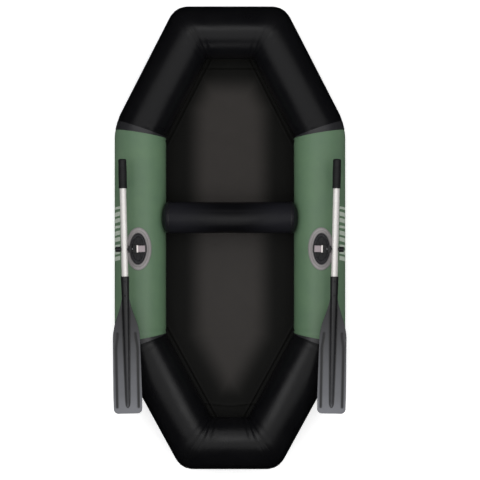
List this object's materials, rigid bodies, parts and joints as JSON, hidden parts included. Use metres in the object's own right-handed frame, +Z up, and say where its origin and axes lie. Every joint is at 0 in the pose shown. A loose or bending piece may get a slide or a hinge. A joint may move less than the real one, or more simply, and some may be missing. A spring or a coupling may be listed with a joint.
{
  "type": "inflatable rowing dinghy",
  "caption": "Inflatable rowing dinghy with an octagonal ring of air tubes, a sheet bottom, a roll seat, turning oarlocks and stowed oars.",
  "frame": {"origin": "on the ground under the middle of the hull", "axes": "+Z up, +Y towards the bow, +X to starboard"},
  "size_m": [1.1078, 2.2018, 0.3311],
  "materials": {
    "green_pvc": "satin coated fabric, muted green",
    "black_pvc": "satin coated fabric, black",
    "seam_tape_pvc": "satin coated fabric tape, dark grey",
    "floor_pvc": "matt coated fabric, black-brown",
    "seat_pvc": "satin coated fabric, black",
    "pad_rubber": "matt moulded rubber, mid grey",
    "hard_black_plastic": "moulded, satin black",
    "pale_plastic": "moulded, off-white",
    "steel": "stainless, bright",
    "oar_aluminium": "anodised, pale silver",
    "grip_rubber": "soft black sleeve",
    "blade_plastic": "moulded, grey",
    "valve_plastic": "moulded, black"
  },
  "bodies": {
    "hull": {"bow_tube": "black_pvc", "port_bow_tube": "black_pvc", "port_side_tube": "green_pvc", "port_stern_tube": "black_pvc", "stern_tube": "black_pvc", "starboard_stern_tube": "black_pvc", "starboard_side_tube": "green_pvc", "starboard_bow_tube": "black_pvc", "bow_starboard_corner_tape": "black_pvc", "bow_port_corner_tape": "black_pvc", "port_front_seam_tape": "seam_tape_pvc", "port_back_seam_tape": "seam_tape_pvc", "stern_port_corner_tape": "black_pvc", "stern_starboard_corner_tape": "black_pvc", "starboard_back_seam_tape": "seam_tape_pvc", "starboard_front_seam_tape": "seam_tape_pvc", "floor_sheet": "floor_pvc", "floor_seam_tape": "floor_pvc", "port_bulkhead": "black_pvc", "starboard_bulkhead": "black_pvc", "port_oarlock_pad": "pad_rubber", "port_oarlock_socket": "hard_black_plastic", "starboard_oarlock_pad": "pad_rubber", "starboard_oarlock_socket": "hard_black_plastic", "bow_valve_body": "valve_plastic", "bow_valve_backing_ring": "valve_plastic", "bow_valve_spring": "steel", "stern_valve_body": "valve_plastic", "stern_valve_backing_ring": "valve_plastic", "stern_valve_spring": "steel"},
    "seat": {"seat_roll": "seat_pvc", "seat_port_end": "seat_pvc", "seat_starboard_end": "seat_pvc", "seat_valve_body": "valve_plastic", "seat_valve_spring": "steel"},
    "port_oarlock": {"port_oarlock_swivel": "hard_black_plastic", "port_swivel_cap": "pale_plastic", "port_oar_pin": "steel"},
    "port_oar": {"port_oar_shaft": "oar_aluminium", "port_oar_bush": "hard_black_plastic", "port_oar_grip": "grip_rubber", "port_blade_rivets": "oar_aluminium", "port_oar_blade": "blade_plastic"},
    "port_knob": {"port_pin_knob": "hard_black_plastic"},
    "starboard_oarlock": {"starboard_oarlock_swivel": "hard_black_plastic", "starboard_swivel_cap": "pale_plastic", "starboard_oar_pin": "steel"},
    "starboard_oar": {"starboard_oar_shaft": "oar_aluminium", "starboard_oar_bush": "hard_black_plastic", "starboard_oar_grip": "grip_rubber", "starboard_blade_rivets": "oar_aluminium", "starboard_oar_blade": "blade_plastic"},
    "starboard_knob": {"starboard_pin_knob": "hard_black_plastic"},
    "bow_cap": {"bow_valve_cap": "valve_plastic"},
    "bow_poppet": {"bow_valve_poppet": "pale_plastic"},
    "stern_cap": {"stern_valve_cap": "valve_plastic"},
    "stern_poppet": {"stern_valve_poppet": "pale_plastic"},
    "seat_cap": {"seat_valve_cap": "valve_plastic"},
    "seat_poppet": {"seat_valve_poppet": "pale_plastic"}
  },
  "joints": [
    {"name": "port_oar_swing", "type": "hinge", "parent": "hull", "child": "port_oarlock", "pos_m": [-0.43, -0.05, 0.27], "axis": [0, 0, -1], "range_deg": [0, 120]},
    {"name": "port_oar_dip", "type": "hinge", "parent": "port_oarlock", "child": "port_oar", "pos_m": [-0.48998, -0.05139, 0.31], "axis": [0.9997, 0.0232, 0], "range_deg": [-5, 5]},
    {"name": "port_knob_turn", "type": "hinge", "parent": "port_oarlock", "child": "port_knob", "pos_m": [-0.51948, -0.05208, 0.31], "axis": [-0.9997, -0.0232, 0], "continuous": true},
    {"name": "starboard_oar_swing", "type": "hinge", "parent": "hull", "child": "starboard_oarlock", "pos_m": [0.43, -0.05, 0.27], "axis": [0, 0, 1], "range_deg": [0, 120]},
    {"name": "starboard_oar_dip", "type": "hinge", "parent": "starboard_oarlock", "child": "starboard_oar", "pos_m": [0.48998, -0.05139, 0.31], "axis": [0.9997, -0.0232, 0], "range_deg": [-5, 5]},
    {"name": "starboard_knob_turn", "type": "hinge", "parent": "starboard_oarlock", "child": "starboard_knob", "pos_m": [0.51948, -0.05208, 0.31], "axis": [0.9997, -0.0232, 0], "continuous": true},
    {"name": "seat_slide", "type": "slide", "parent": "hull", "child": "seat", "axis": [0, 1, 0], "range_m": [-0.2, 0.25]},
    {"name": "bow_cap_turn", "type": "hinge", "parent": "hull", "child": "bow_cap", "pos_m": [-0.32924, 0.33, 0.05375], "axis": [0.8192, 0, -0.5736], "range_deg": [0, 90]},
    {"name": "bow_poppet_press", "type": "slide", "parent": "hull", "child": "bow_poppet", "axis": [-0.8192, 0, 0.5736], "range_m": [0, 0.002], "stiffness_N_per_m": 300, "springref_m": -0.002, "deforming": ["bow_valve_spring"]},
    {"name": "stern_cap_turn", "type": "hinge", "parent": "hull", "child": "stern_cap", "pos_m": [0.32924, -0.33, 0.05375], "axis": [-0.8192, 0, -0.5736], "range_deg": [0, 90]},
    {"name": "stern_poppet_press", "type": "slide", "parent": "hull", "child": "stern_poppet", "axis": [0.8192, 0, 0.5736], "range_m": [0, 0.002], "stiffness_N_per_m": 300, "springref_m": -0.002, "deforming": ["stern_valve_spring"]},
    {"name": "seat_cap_turn", "type": "hinge", "parent": "seat", "child": "seat_cap", "pos_m": [-0.19, 0.04979, 0.11255], "axis": [0, -0.6428, -0.766], "range_deg": [0, 90]},
    {"name": "seat_poppet_press", "type": "slide", "parent": "seat", "child": "seat_poppet", "axis": [0, 0.6428, 0.766], "range_m": [0, 0.002], "stiffness_N_per_m": 300, "springref_m": -0.002, "deforming": ["seat_valve_spring"]}
  ]
}
